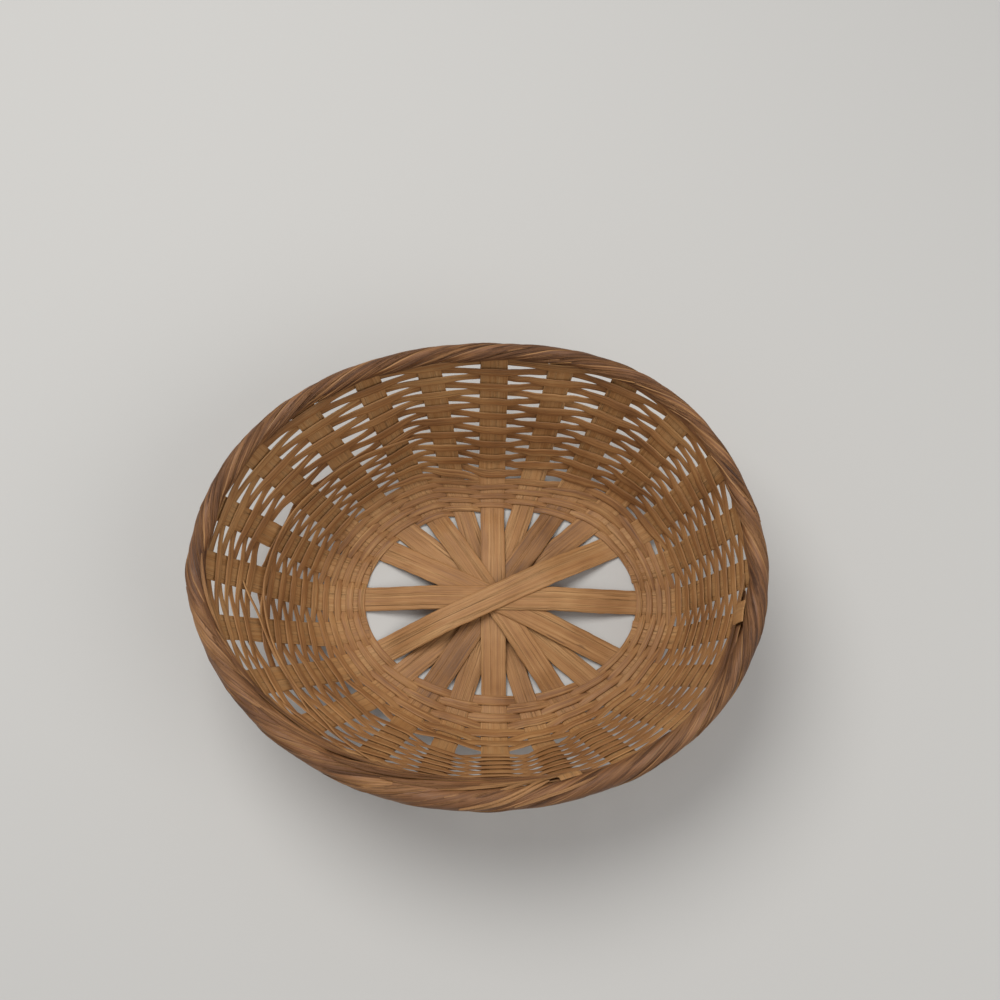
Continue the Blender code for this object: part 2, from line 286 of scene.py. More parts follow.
# what all the split wood shares: each noise's seed, detail and roughness, how it is stretched and
# how much it counts
wood = {
    "fibreSeed": (7.3, 0), "bandSeed": (3.1, 5), "streakSeed": (5.7, 9), "knotSeed": (2.3, 3),
    "fibreGrain": (5, 0.62), "bandGrain": (3, 0.5), "streakGrain": (2, 0.45), "knotGrain": (2, 0.5),
    "patchGrain": (3, 0.55, 34),
    "bandStretch": 9, "streakStretch": 0.45, "streaksAcross": 0.8, "knotStretch": 55, "knotsAcross": 1.3,
    "streakWidth": 0.035, "streakBands": (0.42, 0.62), "knotLevels": (0.70, 0.78),
    "bandShare": 0.8, "patchShare": 0.6, "toneShare": 0.5, "middleLevel": 0.48,
    "stops": (0.12, 0.46, 0.88), "fibreEdges": (0.3, 0.6, 0.35), "knotShare": 0.5,
    "fibreHeight": 0.7, "bandHeight": 0.4, "streakHeight": 0.5, "knotHeight": 0.3,
    "roughnessLevels": (0.3, 0.7), "coatRoughness": 0.45, "specular": 0.4,
}


def dress(graph, shader, look, colour, grain, height):
    roughness = graph.fade(grain, *wood["roughnessLevels"], look["smoothest"], look["roughest"])
    bump = graph.node("ShaderNodeBump", None,
                      {"Strength": look["bump"], "Distance": look["bumpDepth"], "Height": height})
    for socket, value in (("Base Color", colour), ("Roughness", roughness), ("Normal", bump)):
        graph.tree.links.new(value.socket, shader.inputs[socket])


def colourRamp(graph, places, look, depth):
    stops = list(zip(places, (look["dark"], look["middle"], look["light"])))
    return graph.node("ShaderNodeValToRGB", {"stops": stops}, {"Fac": depth})


# split wood: fibres run along each strand, pores are dark, edges are worn lighter
def woodLook(name, look):
    material, graph, shader = newMaterial(name)

    def strandValue(attribute):
        return graph.node("ShaderNodeAttribute", {"attribute_name": attribute}, None, "Fac")

    along, across = strandValue("alongLength"), strandValue("acrossPlace")
    seed, tone = strandValue("strandSeed"), strandValue("strandTone")
    def noiseOf(kind, x, y):
        times, plus = wood[kind + "Seed"]
        return graph.grain((x, y, seed * times + plus), *wood[kind + "Grain"])

    fibre = noiseOf("fibre", along * look["fibreStretch"], across * look["fibresAcross"])
    band = noiseOf("band", along * wood["bandStretch"], across * look["bandsAcross"])
    streak = noiseOf("streak", along * look["fibreStretch"] * wood["streakStretch"],
                     across * look["fibresAcross"] * wood["streaksAcross"])
    knot = noiseOf("knot", along * wood["knotStretch"], across * look["bandsAcross"] * wood["knotsAcross"])
    patch = graph.grain(graph.node("ShaderNodeTexCoord", None, None, "Object"), *wood["patchGrain"])
    lines = graph.fade(abs(streak - 0.5), 0.0, wood["streakWidth"], 1, 0)
    lines = lines * graph.fade(band, *wood["streakBands"])
    knot = graph.fade(knot, *wood["knotLevels"])
    depth = ((fibre - 0.5) + (band - 0.5) * wood["bandShare"] + (patch - 0.5) * wood["patchShare"]
             + tone * wood["toneShare"] + wood["middleLevel"])
    colour = colourRamp(graph, wood["stops"], look, depth)
    low, high, least = wood["fibreEdges"]
    edge = graph.fade(abs(across), look["edgeStart"], 1) * graph.fade(fibre, low, high, least, 1)
    colour = graph.blend(edge * look["edgeShare"], colour, (*look["edge"], 1))
    colour = graph.blend(lines * look["lineShare"], colour, (*look["line"], 1))
    colour = graph.blend(knot * wood["knotShare"], colour, (*look["line"], 1))
    height = (fibre * wood["fibreHeight"] + band * wood["bandHeight"] - lines * wood["streakHeight"]
              - knot * wood["knotHeight"])
    dress(graph, shader, look, colour, fibre, height)
    shader.inputs["Coat Weight"].default_value = look["coat"]
    shader.inputs["Coat Roughness"].default_value = wood["coatRoughness"]
    shader.inputs["Specular IOR Level"].default_value = wood["specular"]
    return material


splintLook = {
    "dark": (0.137, 0.058, 0.019), "middle": (0.365, 0.173, 0.058), "light": (0.560, 0.320, 0.135),
    "edge": (0.520, 0.300, 0.120), "line": (0.075, 0.030, 0.010),
    "fibreStretch": 26, "fibresAcross": 20, "bandsAcross": 2.4,
    "edgeStart": 0.90, "edgeShare": 0.35, "lineShare": 0.55,
    "smoothest": 0.42, "roughest": 0.66, "bump": 0.8, "bumpDepth": 0.0005, "coat": 0.06,
}
stripLook = {
    "dark": (0.095, 0.038, 0.013), "middle": (0.315, 0.142, 0.046), "light": (0.560, 0.320, 0.125),
    "edge": (0.480, 0.260, 0.100), "line": (0.055, 0.021, 0.008),
    "fibreStretch": 34, "fibresAcross": 6.0, "bandsAcross": 1.2,
    "edgeStart": 0.78, "edgeShare": 0.35, "lineShare": 0.5,
    "smoothest": 0.42, "roughest": 0.68, "bump": 0.7, "bumpDepth": 0.0004, "coat": 0.06,
}
rimLook = {
    "dark": (0.062, 0.023, 0.009), "middle": (0.210, 0.088, 0.031), "light": (0.430, 0.215, 0.080),
    "edge": (0.540, 0.285, 0.100), "line": (0.032, 0.013, 0.005),
    "fibreStretch": 30, "fibresAcross": 9, "bandsAcross": 1.8,
    "edgeStart": 0.80, "edgeShare": 0.60, "lineShare": 0.7,
    "smoothest": 0.36, "roughest": 0.62, "bump": 0.9, "bumpDepth": 0.0006, "coat": 0.08,
}
coreGrain = {"stretch": (260, 260, 900), "grain": (4, 0.6), "grainShare": 0.6, "patch": (3, 0.5, 60),
             "patchShare": 0.4, "stops": (0.3, 0.6, 0.9)}
splintWood = woodLook("splintWood", splintLook)
stripWood = woodLook("stripWood", stripLook)
rimWood = woodLook("rimWood", rimLook)


# the bundle under the strands has no fibres of its own: its grain runs through the place
def coreLook(name):
    material, graph, shader = newMaterial(name)
    spot = graph.node("ShaderNodeTexCoord", None, None, "Object")
    grain = graph.grain(graph.vector("MULTIPLY", spot, coreGrain["stretch"]), *coreGrain["grain"])
    patch = graph.grain(spot, *coreGrain["patch"])
    depth = grain * coreGrain["grainShare"] + patch * coreGrain["patchShare"]
    dress(graph, shader, rimLook, colourRamp(graph, coreGrain["stops"], rimLook, depth), grain, grain)
    return material


coreWood = coreLook("coreWood")
print("woods mixed")


# how a ribbon's section and its irregularities follow its length and its width
section = {
    "flatness": 0.25, "seedLength": 0.37,
    "ridgeStretch": 30, "ridgesAcross": 6, "ridgeSeed": 4.1, "ridgeGrain": (3, 0.6),
    "driftStretch": 38, "driftSeed": 2.7, "driftGrain": (2, 0.5),
    "frillStretch": 160, "frillSeed": 1.9, "frillGrain": (2, 0.5), "frillShare": 0.16,
}


# one tree makes every splint, strip and fibre from its middle line: the line's points carry the
# direction that the face looks in and their share of the width
def buildRibbonTree():
    tree = bpy.data.node_groups.new("ribbonTree", "GeometryNodeTree")
    graph = Graph(tree)
    sockets = {}
    for name, kind in (("Geometry", "Geometry"), ("Width", "Float"), ("Thickness", "Float"),
                       ("Curl Radius", "Float"), ("Ridges", "Float"), ("Sway", "Float"),
                       ("Points Around", "Int"), ("Seed", "Float"), ("Material", "Material")):
        sockets[name] = tree.interface.new_socket(name=name, in_out="INPUT", socket_type="NodeSocket" + kind)
    tree.interface.new_socket(name="Geometry", in_out="OUTPUT", socket_type="NodeSocketGeometry")
    entry = tree.nodes.new("NodeGroupInput")
    given = {name: Value(graph, entry.outputs[name]) for name in sockets}

    def named(attribute, kind="FLOAT"):
        return graph.node("GeometryNodeInputNamedAttribute", {"data_type": kind}, {"Name": attribute})

    def stored(geometry, attribute, value, kind="FLOAT"):
        return graph.node("GeometryNodeStoreNamedAttribute", {"data_type": kind, "domain": "POINT"},
                          {"Geometry": geometry, "Name": attribute, "Value": value})

    line = graph.node("GeometryNodeMeshToCurve", None, {"Mesh": given["Geometry"]})
    tangent = graph.node("GeometryNodeInputTangent")
    facing = named("facing", "FLOAT_VECTOR")
    sideways = graph.vector("NORMALIZE", graph.vector("CROSS_PRODUCT", tangent, facing))
    line = stored(line, "sideways", sideways, "FLOAT_VECTOR")
    line = stored(line, "spine", graph.node("GeometryNodeInputPosition"), "FLOAT_VECTOR")

    # each point of the ring has its share of the width and of the thickness, as on a soft-edged box
    ring = graph.node("GeometryNodeCurvePrimitiveCircle", {"mode": "RADIUS"},
                      {"Resolution": given["Points Around"], "Radius": 1.0})
    corner = graph.node("ShaderNodeSeparateXYZ", None, {"Vector": graph.node("GeometryNodeInputPosition")})
    cornerY = Value(graph, corner.socket.node.outputs["Y"])
    ring = stored(ring, "acrossPlace", corner)
    squared = abs(cornerY) ** section["flatness"]
    ring = stored(ring, "depthPlace", squared * graph.reshaped("SIGN", cornerY))
    skin = graph.node("GeometryNodeCurveToMesh", None,
                      {"Curve": line, "Profile Curve": ring, "Fill Caps": True})

    along, across, depth = named("alongLength"), named("acrossPlace"), named("depthPlace")
    seed = named("strandSeed") + given["Seed"]
    ridge = graph.grain((along * section["ridgeStretch"], across * section["ridgesAcross"],
                         seed * section["ridgeSeed"]), *section["ridgeGrain"]) - 0.5
    drift = graph.grain((along * section["driftStretch"], seed * section["driftSeed"], 0),
                        *section["driftGrain"]) - 0.5
    frill = graph.grain((along * section["frillStretch"], graph.reshaped("SIGN", across),
                         seed * section["frillSeed"]), *section["frillGrain"]) - 0.5
    flat = across * given["Width"] * named("widthShare") / 2 * (frill * section["frillShare"] + 1)
    thick = depth * given["Thickness"] / 2
    turn = flat / given["Curl Radius"]
    outX = (thick + given["Curl Radius"]) * graph.reshaped("SINE", turn) + drift * given["Sway"]
    outY = ((thick + given["Curl Radius"]) * graph.reshaped("COSINE", turn) - given["Curl Radius"]
            + ridge * given["Ridges"])
    place = graph.vector("ADD", named("spine", "FLOAT_VECTOR"),
                         graph.vector("ADD", graph.scaled(named("sideways", "FLOAT_VECTOR"), outX),
                                      graph.scaled(named("facing", "FLOAT_VECTOR"), outY)))
    skin = graph.node("GeometryNodeSetPosition", None, {"Geometry": skin, "Position": place})
    skin = graph.node("GeometryNodeSetShadeSmooth", None, {"Geometry": skin, "Shade Smooth": True})
    skin = graph.node("GeometryNodeRealizeInstances", None, {"Geometry": skin})
    skin = graph.node("GeometryNodeSetMaterial", None, {"Geometry": skin, "Material": given["Material"]})
    finish = tree.nodes.new("NodeGroupOutput")
    tree.links.new(skin.socket, finish.inputs["Geometry"])
    return tree, {name: socket.identifier for name, socket in sockets.items()}


ribbonTree, ribbonInputs = buildRibbonTree()


# a middle line with what its points carry
class Line:
    def __init__(self, seed, tone=0.0):
        self.points, self.facings, self.widths, self.tones = [], [], [], []
        self.seed = seed
        self.tone = tone

    def add(self, point, facing, width=1.0, tone=0.0):
        self.points.append(point)
        self.facings.append(facing)
        self.widths.append(width)
        self.tones.append(self.tone + tone)


def makeRibbons(name, lines, sizes, material):
    mesh = bpy.data.meshes.new(name + "Lines")
    points = [point for line in lines for point in line.points]
    edges, lengths, start = [], [], 0
    for line in lines:
        length = line.seed * section["seedLength"]
        for number, point in enumerate(line.points):
            if number:
                length += (point - line.points[number - 1]).length
                edges.append((start + number - 1, start + number))
            lengths.append(length)
        start += len(line.points)
    mesh.from_pydata(points, edges, [])

    def carry(attribute, kind, values):
        made = mesh.attributes.new(attribute, kind, "POINT")
        if kind == "FLOAT_VECTOR":
            made.data.foreach_set("vector", [part for value in values for part in value])
        else:
            made.data.foreach_set("value", values)

    carry("facing", "FLOAT_VECTOR", [facing for line in lines for facing in line.facings])
    carry("alongLength", "FLOAT", lengths)
    carry("widthShare", "FLOAT", [width for line in lines for width in line.widths])
    carry("strandSeed", "FLOAT", [line.seed for line in lines for point in line.points])
    carry("strandTone", "FLOAT", [tone for line in lines for tone in line.tones])
    maker = newObject(name + "Maker", mesh)
    modifier = maker.modifiers.new("ribbon", "NODES")
    modifier.node_group = ribbonTree
    for inputName, value in sizes.items():
        modifier[ribbonInputs[inputName]] = value
    modifier[ribbonInputs["Material"]] = material
    evaluated = maker.evaluated_get(bpy.context.evaluated_depsgraph_get())
    finished = bpy.data.meshes.new_from_object(evaluated)
    finished.name = name
    for leftover in ("spine", "sideways", "facing", "widthShare", "depthPlace"):
        if leftover in finished.attributes:
            finished.attributes.remove(finished.attributes[leftover])
    bpy.data.objects.remove(maker, do_unlink=True)
    bpy.data.meshes.remove(mesh)
    return newObject(name, finished)


def joined(pieces):
    with bpy.context.temp_override(active_object=pieces[0], object=pieces[0], selected_objects=pieces,
                                   selected_editable_objects=pieces):
        bpy.ops.object.join()
    return pieces[0]


def standFor(piece, node):
    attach(piece, "root")
    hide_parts(node)


# the splints that cross the base, from the lowest to the uppermost, and the short stakes
splints = {
    # each splint's first arm and its share of the width
    "order": [(7, 0.88), (3, 0.98), (5, 0.92), (4, 1.00), (6, 1.02), (9, 0.97), (8, 0.96), (10, 0.97),
              (0, 1.02), (2, 1.02)],
    "tones": [0.02, -0.05, 0.00, -0.30, 0.02, 0.06, 0.00, 0.04, 0.12, 0.22],
    "stakeArms": [1, 11, 13, 23],
    "stakeTones": [-0.05, 0.0, -0.08, 0.02],
    "stakeShare": 0.94,
    "stakeStart": 0.0004,
    "stakeSeed": 40,
    "topReach": rimReach + 0.0005,
    "stepLength": 0.0018,
    "smoothing": 0.005,
    # on the wall the splints are painted lighter, as painted light against the shade that the strips cast on
    # them, and they are brought to nearly one tone
    "wallOver": 0.02,
    "wallPaintedLight": 0.27,
    "ownTone": 0.8,
    "wallWidening": 0.10,
    "wallWander": (0.03, 25, 0),
    "baseWander": (0.03, 0.05, 20),
    "ribbon": {"Width": 0.0126, "Thickness": 0.0008, "Curl Radius": 0.060, "Ridges": 0.00022,
               "Sway": 0.0007, "Points Around": 26, "Seed": 0.0},
}


def armLine(line, arm, reaches, widthShare):
    for reach in reaches:
        point, normal, angle = armPlace(arm, reach)
        onWall = smoothStep((reach - weave["ringFirst"]) / splints["wallOver"])
        widening = splints["wallWidening"] * onWall
        share = widthShare * (1 + widening + styled(splints["wallWander"], reach, line.seed))
        # the wall part of a splint is painted lighter: painted light against the strips' shade
        line.add(point, normal, share, onWall * (splints["wallPaintedLight"] - splints["ownTone"] * line.tone))


def wallReaches(start):
    steps = int((splints["topReach"] - start) / splints["stepLength"])
    return [start + (splints["topReach"] - start) * step / steps for step in range(steps + 1)]


# a splint lies on its solid over the base, where it climbs over the splints below it
def baseLine(line, near, far, solid, share):
    tree = BVHTree.FromObject(solid, bpy.context.evaluated_depsgraph_get())
    steps = int((far - near).length / splints["stepLength"])
    spots = [near.lerp(far, step / steps) for step in range(steps + 1)]
    levels = []
    for spot in spots:
        hit = tree.ray_cast(Vector((spot.x, spot.y, basket["height"])), Vector((0, 0, -1)))[0]
        levels.append(hit.z - splints["ribbon"]["Thickness"] / 2 if hit else basket["weaveLevel"])
    window = int(splints["smoothing"] / splints["stepLength"])
    for step, spot in enumerate(spots):
        nearby = levels[max(0, step - window):step + window + 1]
        line.add(Vector((spot.x, spot.y, sum(nearby) / len(nearby))), Vector((0, 0, 1)),
                 share * (1 + styled(splints["baseWander"], step, line.seed)))


def makeSplints():
    for number, (arm, share) in enumerate(splints["order"], start=1):
        node = "base_splint_%02d" % number
        line = Line(number, splints["tones"][number - 1])
        near, far = armPlace(arm, 0)[0], armPlace(arm + halfTurn, 0)[0]
        armLine(line, arm, reversed(wallReaches(0)[1:]), share)
        baseLine(line, near, far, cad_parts[node], share)
        armLine(line, arm + halfTurn, wallReaches(0)[1:], share)
        standFor(makeRibbons("crossedSplint%02d" % number, [line], splints["ribbon"], splintWood), node)
    for number, arm in enumerate(splints["stakeArms"], start=1):
        line = Line(splints["stakeSeed"] + number, splints["stakeTones"][number - 1])
        armLine(line, arm, wallReaches(splints["stakeStart"]), splints["stakeShare"])
        stake = makeRibbons("shortStake%02d" % number, [line], splints["ribbon"], splintWood)
        standFor(stake, "short_stake_%02d" % number)


# two strips chase each other round the bowl in each zone, over and under the uprights
weave = {
    "rowsPerTurn": 2,
    "stepStart": 2,
    "stepArms": 4,
    "samplesPerArm": 18,
    "ringRows": 8,
    "ringFirst": 0.0017,
    "ringOffset": 0.00085,
    "ringBow": 0.00010,
    "ringPieces": 2,
    "ringCover": 1.12,
    "ringDrift": (0.00045, 0.33, 0),
    "ringDriftShare": 0.4,
    "groundShare": 0.8,
    "wallRows": 18,
    "lowerRows": 10,
    "wallOffset": 0.0010,
    "wallBow": 0.00045,
    "wallPieces": 3,
    "wallCover": 1.08,
    "wallDrift": (0.00045, 0.33, 200),
    "driftFade": 6,
    "gapNarrowing": 0.22,
    "narrowest": 0.0027,
    "broadest": 0.0048,
    "restShare": 0.42,
    "leastChange": 0.1,
    "changeEase": 0.25,
    "seedPerStrand": 31,
    "seedWrap": 17,
    "toneWander": (0.08, 1.7, 4),
    "turnWander": (0.10, 0.9, 5),
    "widthWander": (0.06, 0.22, 9),
    # by arm count: the upper edge of the ring rows, the lowest and the highest row of the wall
    "ringTops": [
        (1, 0.0225), (3, 0.024), (5, 0.0185), (6.2, 0.017), (8, 0.0245), (12, 0.0255), (15, 0.0275),
        (16.5, 0.032), (18, 0.038), (19, 0.0345), (20, 0.0285), (21, 0.025), (22.5, 0.023),
    ],
    "firstRows": [
        (0, 0.0255), (2.5, 0.0255), (4.2, 0.025), (6, 0.0205), (7, 0.0235), (8, 0.027), (12, 0.0275),
        (14, 0.031), (16, 0.039), (17.4, 0.05), (18.4, 0.05), (19.2, 0.0405), (20, 0.032), (21, 0.0275),
        (22, 0.0265), (23, 0.026),
    ],
    "lastRows": [
        (0.5, 0.0985), (2.4, 0.1045), (4.2, 0.104), (6, 0.0998), (16, 0.0985), (20, 0.0998),
    ],
    # and how far the wall's strips bow away from the uprights
    "bowShares": [
        (0, 0.85), (3, 1.0), (6, 1.05), (10, 1.05), (13, 1.0), (15.5, 0.8), (18, 0.78), (20, 0.65),
        (21.5, 0.52), (23, 0.65),
    ],
    # where the rows of the wall part: the reach of the opening's middle, and half of its height
    "partingPlaces": [
        (8.5, 0.06), (9.5, 0.0612), (10.5, 0.064), (11.5, 0.0672), (12.5, 0.07), (13.5, 0.0745),
        (14.5, 0.0785), (15.5, 0.079),
    ],
    "partingHalves": [
        (7.2, 0.002), (8.5, 0.003), (9.5, 0.0042), (10.5, 0.0047), (11.5, 0.005), (12.5, 0.0052),
        (13.5, 0.0038), (14.5, 0.004), (15.5, 0.0028), (16.8, 0.002),
    ],
    "partingStart": 7.2,
    "partingEnd": 16.8,
    "partingEase": 1.3,
    # the strips start and end over a few arms, where rows are missing below and above
    "missingBelow": [(2, 0.0), (6, 1.9), (8, 0.0)],
    "missingAbove": [(0.5, 0.0), (2.8, 1.4), (6, 0.0)],
    "ring": {"Width": 0.0032, "Thickness": 0.0006, "Curl Radius": 0.030, "Ridges": 0.00014,
             "Sway": 0.0003, "Points Around": 14, "Seed": 60.0},
    "wall": {"Width": 0.0039, "Thickness": 0.00055, "Curl Radius": 0.030, "Ridges": 0.00014,
             "Sway": 0.0004, "Points Around": 14, "Seed": 90.0},
}


def splintWidth(arm):
    home = arm % halfTurn
    for first, share in splints["order"]:
        if first == home:
            return splints["ribbon"]["Width"] * share
    return splints["ribbon"]["Width"] * splints["stakeShare"]


def rowAt(strand, count):
    turns, place = divmod(count - weave["stepStart"], armCount)
    return strand + weave["rowsPerTurn"] * (turns - 1 + min(place / weave["stepArms"], 1))


# the lowest and the highest row that the strips reach at an arm
def rowSpan(zone, count):
    return roundBowl(weave["missingBelow"], count), (weave[zone + "Rows"] - 1
                                                     - roundBowl(weave["missingAbove"], count))


def wallRowReach(row, count):
    first, last = roundBowl(weave["firstRows"], count), roundBowl(weave["lastRows"], count)
    lowest, highest = rowSpan("wall", count)
    lower = weave["lowerRows"] - 1
    pitch = (last - first) / (highest - lowest)
    count = count % armCount
    opened = (smoothStep((count - weave["partingStart"]) / weave["partingEase"])
              * smoothStep((weave["partingEnd"] - count) / weave["partingEase"]))
    centre = first + pitch * (lower + 0.5 - lowest)
    centre += (roundBowl(weave["partingPlaces"], count) - centre) * opened
    half = pitch / 2 + (roundBowl(weave["partingHalves"], count) - pitch / 2) * opened
    if row <= lower:
        return first + (centre - half - first) * (row - lowest) / (lower - lowest)
    if row < lower + 1:
        return centre + half * (2 * (row - lower) - 1)
    return centre + half + (last - centre - half) * (row - lower - 1) / (highest - lower - 1)


def rowReach(zone, row, count):
    drift = styled(weave[zone + "Drift"], count, 3 * row)
    if zone == "ring":
        lowest, highest = rowSpan(zone, count)
        share = (row - lowest) / (highest - lowest)
        first, last = weave["ringFirst"], roundBowl(weave["ringTops"], count) - weave["ring"]["Width"] / 2
        return first + (last - first) * share + weave["ringDriftShare"] * drift * share
    share = row / (weave["wallRows"] - 1)
    return wallRowReach(row, count) + drift * min(1, weave["driftFade"] * share,
                                                  weave["driftFade"] * (1 - share))


# a strip is nearly as wide as the rows are apart, so it fills its row
def rowWidth(zone, row, count):
    spread = (rowReach(zone, row + 1, count) - rowReach(zone, row - 1, count)) / 2
    spread = min(max(spread, weave["narrowest"]), weave["broadest"])
    return weave[zone + "Cover"] * spread / weave[zone]["Width"]


# how much of the way between two uprights a strip lies straight on one of them
def restShare(arm, reach):
    middle, nextMiddle = armPlace(arm, reach)[0], armPlace(arm + 1, reach)[0]
    return min(weave["restShare"], splintWidth(arm) * weave["restShare"] / (nextMiddle - middle).length)


def weaveSide(zone, strand, count, reach):
    before = math.floor(count)
    place = count - before
    side = 1 if (before + strand) % 2 == 0 else -1
    leaving = restShare(before, reach)
    arriving = restShare(before + 1, reach)
    change = min(max((place - leaving) / max(1 - leaving - arriving, weave["leastChange"]), 0), 1)
    change += (smoothStep(change) - change) * weave["changeEase"]
    flattened = roundBowl(weave["bowShares"], count) if zone == "wall" else 1
    # the strip bows away from the upright's middle, so it is highest there
    bow = weave[zone + "Bow"] * (max(0, 1 - (place / 0.5) ** 2) + max(0, 1 - ((1 - place) / 0.5) ** 2))
    return side * (1 - 2 * change) * (weave[zone + "Offset"] + bow) * flattened


def makeStrip(name, zone, strand, first, last, node, tone):
    line = Line(strand * weave["seedPerStrand"] + first % weave["seedWrap"] + 1, tone)
    steps = (last - first) * weave["samplesPerArm"]
    for step in range(steps + 1):
        count = first + (last - first) * step / steps
        row = rowAt(strand, count)
        reach = rowReach(zone, row, count)
        point, normal, angle = armPlace(count, reach)
        away = weaveSide(zone, strand, count, reach)
        crosswise = normal.cross(aroundWall(angle, reach))
        facing = (normal + crosswise * styled(weave["turnWander"], count, line.seed)).normalized()
        point = point + normal * away
        point.z = max(point.z, weave["ring"]["Thickness"] * weave["groundShare"])
        width = rowWidth(zone, row, count) * (1 + styled(weave["widthWander"], count, line.seed))
        if zone == "wall":
            # a strip twists a little where it passes from one side of the wall to the other
            width *= 1 - weave["gapNarrowing"] * math.sin(math.pi * (count % 1)) ** 4
        line.add(point, facing, width)
    standFor(makeRibbons(name, [line], weave[zone], stripWood), node)


def makeWeave():
    for zone in ("ring", "wall"):
        turns = weave[zone + "Rows"] // weave["rowsPerTurn"]
        pieces = weave[zone + "Pieces"]
        number = 1
        for strand in (0, 1):
            first = weave["stepStart"] + weave["stepArms"] + 1 - strand
            last = weave["stepStart"] + armCount * turns - 1 + strand
            pieceArms = weave["rowsPerTurn"] * round((last - first) / (weave["rowsPerTurn"] * pieces))
            starts = [first + pieceArms * piece for piece in range(pieces)] + [last]
            for start, end in zip(starts, starts[1:]):
                makeStrip("%sStrip%02d" % (zone, number), zone, strand, start, end,
                          "%s_strip_%02d" % (zone, number), styled(weave["toneWander"], number))
                number += 1


# the rope of the rim: three broad strands abreast, each split into narrower ones
rim = {
    "abreast": 3,
    "radius": 0.0053,
    "stepsPerArm": 12,
    "leastSteps": 6,
    "laneShare": 1.05,
    "strandStart": -0.14,
    "strandEnd": 3.14,
    # the ends dive under the strands that lie over them, and the narrow ones come to a point
    "dive": 0.0012,
    "diveLength": 0.5,
    "valley": 0.0007,
    "pointStart": 0.4,
    "pointSteps": 2.2,
    "topMargin": 0.0009,
    "leadingEdge": 0.10,
    "lumps": (0.00018, 1.3, 7),
    "swerve": (0.8, 3),
    "widthWander": (0.06, 1, 0),
    "randomSeed": 5,
    "tones": (-0.10, 0.12),
    "tornTone": 0.05,
    "tornDip": 0.0003,
    # how many narrow strands and fibres lie on a broad strand, with how many more where it is torn
    "splits": (2, 5),
    "splitSpread": 1.8,
    "splitShift": 0.08,
    "splitWidths": (0.75, 1.15),
    "splitEnds": 0.5,
    "splitLifts": (0.00022, 0.00065),
    "splitTones": 0.22,
    "splitSwerve": 0.10,
    "splitSeeds": (9, 300),
    "fibres": (4, 14),
    "fibrePlaces": 0.95,
    "fibreStarts": (0.3, 1.9),
    "fibreLengths": (0.5, 1.6),
    "fibreEnd": 2.8,
    "fibreLifts": (0.0006, 0.0009),
    "fibreTones": (-0.45, 0.35),
    "fibreWidths": (0.5, 1.7),
    "fibreSwerve": 0.14,
    "fibreSeeds": (30, 50),
    # by arm count: how much of its full radius the rope has
    "ropeShares": [
        (0.5, 0.92), (2.9, 0.66), (4.5, 0.76), (6.5, 0.84), (9, 0.84), (12, 0.88), (15, 0.92), (19, 0.97),
        (21.5, 0.9),
    ],
    # how far the thinner rope is moved up the wall, against the rope's own loss of radius
    "ropeRises": [
        (1, 0.4), (3, 0.85), (5, 0.85), (7, 0.2), (12, 0.0), (18, 0.0), (20, 0.4),
    ],
    # how much further in the rope lies
    "ropeShifts": [
        (3, 0.0), (7.4, 0.0017), (9.5, 0.001), (11.4, 0.001), (12.2, 0.0), (13.7, 0.0022), (15, 0.0012),
        (17, 0.0),
    ],
    # how much lighter or darker the strands are, and how torn into fibres
    "rimTones": [
        (1, 0.04), (6, 0.0), (12, -0.04), (15, -0.04), (18, -0.18), (22, -0.04),
    ],
    "tornShares": [
        (1, 0.9), (3, 1.0), (9, 1.0), (11.5, 0.55), (13, 0.15), (19.5, 0.15), (21.5, 0.6),
    ],
    "ribbon": {"Width": 0.0113, "Thickness": 0.0007, "Curl Radius": 0.0045, "Ridges": 0.0003,
               "Sway": 0.0004, "Points Around": 22, "Seed": 120.0},
    "split": {"Width": 0.0030, "Thickness": 0.0006, "Curl Radius": 0.0052, "Ridges": 0.00015,
              "Sway": 0.0004, "Points Around": 12, "Seed": 130.0},
    "fibre": {"Width": 0.0009, "Thickness": 0.00045, "Curl Radius": 0.006, "Ridges": 0.0001,
              "Sway": 0.0005, "Points Around": 6, "Seed": 150.0},
}


# roll is zero at the wall and grows toward the outside, the top and then the inside
def ropeFrame(count, roll):
    angle = armAngle(count, rimReach)
    centre = wallPoint(angle, rimReach)
    inward = wallNormal(angle, rimReach)
    upward = aroundWall(angle, rimReach).cross(inward)
    radius = rim["radius"] * roundBowl(rim["ropeShares"], count)
    centre = centre + upward * (rim["radius"] - radius) * roundBowl(rim["ropeRises"], count)
    centre = centre + Vector((-math.cos(angle), -math.sin(angle), 0)) * roundBowl(rim["ropeShifts"], count)
    return centre, -upward * math.cos(roll) - inward * math.sin(roll), radius


# place is where the line lies across its broad strand, from -1 to 1
def strandLine(arm, place, lift, start, end, seed, tone, widthShare, swerve=0.0):
    line = Line(seed, tone)
    steps = max(rim["leastSteps"], int((end - start) * rim["stepsPerArm"]))
    halfLane = math.pi / rim["abreast"]
    for step in range(steps + 1):
        travel = start + (end - start) * step / steps
        spot = place + styled((swerve, *rim["swerve"]), travel, seed)
        roll = 2 * math.pi * travel / rim["abreast"] + spot * halfLane
        centre, outward, radius = ropeFrame(arm + travel, roll)
        dive = (smoothStep(1 - travel / rim["diveLength"])
                + smoothStep(1 - (rim["abreast"] - travel) / rim["diveLength"]))
        radius += lift - rim["dive"] * dive - rim["valley"] * spot ** 2 - rim["ribbon"]["Thickness"]
        radius += styled(rim["lumps"], travel, seed)
        taper = min(1, (step + rim["pointStart"]) / rim["pointSteps"],
                    (steps - step + rim["pointStart"]) / rim["pointSteps"]) if place else 1
        point = centre + outward * radius
        point.z = min(point.z, basket["height"] - rim["topMargin"])
        line.add(point, outward, widthShare * taper * (1 + styled(rim["widthWander"], travel, seed)))
    return line


